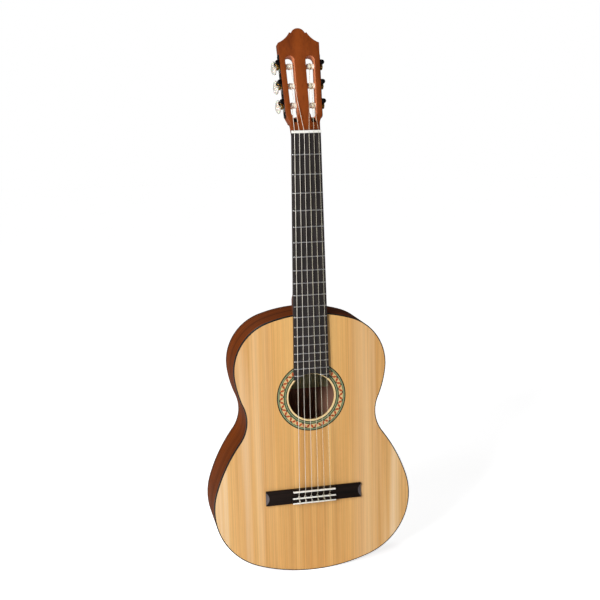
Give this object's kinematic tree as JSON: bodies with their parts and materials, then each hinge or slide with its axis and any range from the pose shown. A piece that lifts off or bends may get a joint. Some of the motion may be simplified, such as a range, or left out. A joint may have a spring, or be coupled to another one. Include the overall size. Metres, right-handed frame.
{
  "type": "classical guitar",
  "caption": "Full-size classical guitar with a slotted head, nylon strings, geared side tuners, a mosaic rosette and a hollow braced body.",
  "frame": {"origin": "bottom centre of the bounding box, under the tail of the body, on the guitar's middle plane", "axes": "+Z from the tail to the head, +X to the treble side, +Y from the soundboard to the back, so the front faces -Y"},
  "size_m": [0.3726, 0.1171, 0.9937],
  "materials": {
    "spruce_top": "gloss lacquered spruce",
    "mahogany_body": "satin lacquered mahogany",
    "dark_binding": "black gloss binding",
    "cedar_block": "raw cedar",
    "spruce_brace": "raw spruce",
    "paper_label": "matte paper, unprinted",
    "mosaic_inlay": "lacquered wood mosaic",
    "ring_inlay": "lacquered dyed wood rings",
    "neck_wood": "satin lacquered nato",
    "head_wood": "gloss lacquered veneer",
    "ebony": "oiled dark wood",
    "bridge_wood": "oiled dark wood",
    "fret_metal": "polished nickel silver",
    "bone": "polished off-white",
    "nylon": "clear nylon",
    "wound_string": "silver-plated winding",
    "brass_gear": "machined brass",
    "dark_metal": "blackened metal",
    "screw_metal": "blackened steel",
    "roller_plastic": "cream plastic",
    "pearl_button": "translucent pearl plastic"
  },
  "bodies": {
    "guitar": {"soundboard": "spruce_top", "back": "mahogany_body", "side_bass": "mahogany_body", "side_treble": "mahogany_body", "top_binding": "dark_binding", "back_binding": "dark_binding", "neck_block": "cedar_block", "tail_block": "cedar_block", "top_linings": "cedar_block", "back_linings": "cedar_block", "fan_braces": "spruce_brace", "top_bars": "spruce_brace", "bridge_patch": "spruce_brace", "back_bars": "spruce_brace", "label": "paper_label", "rosette_mosaic": "mosaic_inlay", "rosette_rings": "ring_inlay", "neck": "neck_wood", "headstock": "head_wood", "heel_cap": "ebony", "fingerboard": "ebony", "frets": "fret_metal", "nut": "bone", "bridge": "bridge_wood", "saddle": "bone", "tie_block_caps": "bone", "plate_bass": "dark_metal", "plate_treble": "dark_metal", "plate_screws": "screw_metal", "worm_saddles": "dark_metal", "string_1": "nylon", "string_2": "nylon", "string_3": "nylon", "string_4": "wound_string", "string_5": "wound_string", "string_6": "wound_string"},
    "key_1": {"worm_1": "brass_gear", "button_1": "pearl_button"},
    "barrel_1": {"roller_1": "roller_plastic", "gear_1": "brass_gear"},
    "key_2": {"worm_2": "brass_gear", "button_2": "pearl_button"},
    "barrel_2": {"roller_2": "roller_plastic", "gear_2": "brass_gear"},
    "key_3": {"worm_3": "brass_gear", "button_3": "pearl_button"},
    "barrel_3": {"roller_3": "roller_plastic", "gear_3": "brass_gear"},
    "key_4": {"worm_4": "brass_gear", "button_4": "pearl_button"},
    "barrel_4": {"roller_4": "roller_plastic", "gear_4": "brass_gear"},
    "key_5": {"worm_5": "brass_gear", "button_5": "pearl_button"},
    "barrel_5": {"roller_5": "roller_plastic", "gear_5": "brass_gear"},
    "key_6": {"worm_6": "brass_gear", "button_6": "pearl_button"},
    "barrel_6": {"roller_6": "roller_plastic", "gear_6": "brass_gear"}
  },
  "joints": [
    {"name": "key_1_turn", "type": "hinge", "parent": "guitar", "child": "key_1", "pos_m": [0.03762, -0.02319, 0.86554], "axis": [0, 0.9659, -0.2588], "continuous": true},
    {"name": "barrel_1_turn", "type": "hinge", "parent": "guitar", "child": "barrel_1", "pos_m": [0.02878, -0.02495, 0.85898], "axis": [0.9994, -0.009, -0.0337], "continuous": true},
    {"name": "key_2_turn", "type": "hinge", "parent": "guitar", "child": "key_2", "pos_m": [0.03885, -0.01413, 0.89933], "axis": [0, 0.9659, -0.2588], "continuous": true},
    {"name": "barrel_2_turn", "type": "hinge", "parent": "guitar", "child": "barrel_2", "pos_m": [0.03, -0.01589, 0.89276], "axis": [0.9994, -0.009, -0.0337], "continuous": true},
    {"name": "key_3_turn", "type": "hinge", "parent": "guitar", "child": "key_3", "pos_m": [0.04007, -0.00508, 0.93311], "axis": [0, 0.9659, -0.2588], "continuous": true},
    {"name": "barrel_3_turn", "type": "hinge", "parent": "guitar", "child": "barrel_3", "pos_m": [0.03122, -0.00684, 0.92655], "axis": [0.9994, -0.009, -0.0337], "continuous": true},
    {"name": "key_4_turn", "type": "hinge", "parent": "guitar", "child": "key_4", "pos_m": [-0.04007, -0.00508, 0.93311], "axis": [0, 0.9659, -0.2588], "continuous": true},
    {"name": "barrel_4_turn", "type": "hinge", "parent": "guitar", "child": "barrel_4", "pos_m": [-0.03122, -0.00684, 0.92655], "axis": [0.9994, 0.009, 0.0337], "continuous": true},
    {"name": "key_5_turn", "type": "hinge", "parent": "guitar", "child": "key_5", "pos_m": [-0.03885, -0.01413, 0.89933], "axis": [0, 0.9659, -0.2588], "continuous": true},
    {"name": "barrel_5_turn", "type": "hinge", "parent": "guitar", "child": "barrel_5", "pos_m": [-0.03, -0.01589, 0.89276], "axis": [0.9994, 0.009, 0.0337], "continuous": true},
    {"name": "key_6_turn", "type": "hinge", "parent": "guitar", "child": "key_6", "pos_m": [-0.03762, -0.02319, 0.86554], "axis": [0, 0.9659, -0.2588], "continuous": true},
    {"name": "barrel_6_turn", "type": "hinge", "parent": "guitar", "child": "barrel_6", "pos_m": [-0.02878, -0.02495, 0.85898], "axis": [0.9994, 0.009, 0.0337], "continuous": true}
  ],
  "couplings": [
    {"joint": "barrel_1_turn", "follows": "key_1_turn", "ratio": 0.071429},
    {"joint": "barrel_2_turn", "follows": "key_2_turn", "ratio": 0.071429},
    {"joint": "barrel_3_turn", "follows": "key_3_turn", "ratio": 0.071429},
    {"joint": "barrel_4_turn", "follows": "key_4_turn", "ratio": 0.071429},
    {"joint": "barrel_5_turn", "follows": "key_5_turn", "ratio": 0.071429},
    {"joint": "barrel_6_turn", "follows": "key_6_turn", "ratio": 0.071429}
  ]
}
